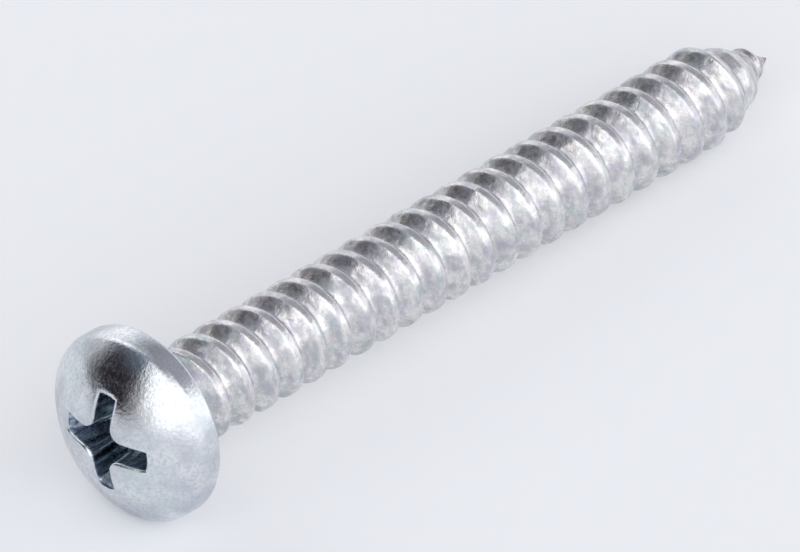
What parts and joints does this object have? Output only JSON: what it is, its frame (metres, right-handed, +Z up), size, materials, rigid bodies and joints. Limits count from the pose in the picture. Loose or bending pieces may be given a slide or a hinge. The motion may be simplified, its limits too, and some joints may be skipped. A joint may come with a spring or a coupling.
{
  "type": "pan head self-tapping screw",
  "caption": "Pan head self-tapping screw with a cross recess in its domed head and a coarse right-hand thread that runs down to a sharp point.",
  "frame": {"origin": "centre of the lying screw's footprint, on the surface that it rests on", "axes": "+X along the screw from the head to the tip, level; +Z up. The screw's own axis leans 3.52 degrees down towards the tip, because the head's edge and the thread's last full turn touch the surface"},
  "size_m": [0.0394, 0.0082, 0.0082],
  "materials": {
    "zinc_plate": "bright zinc plate, slightly cloudy, with a faint blue and lilac tint"
  },
  "bodies": {
    "root": {"screw": "zinc_plate"}
  },
  "joints": []
}
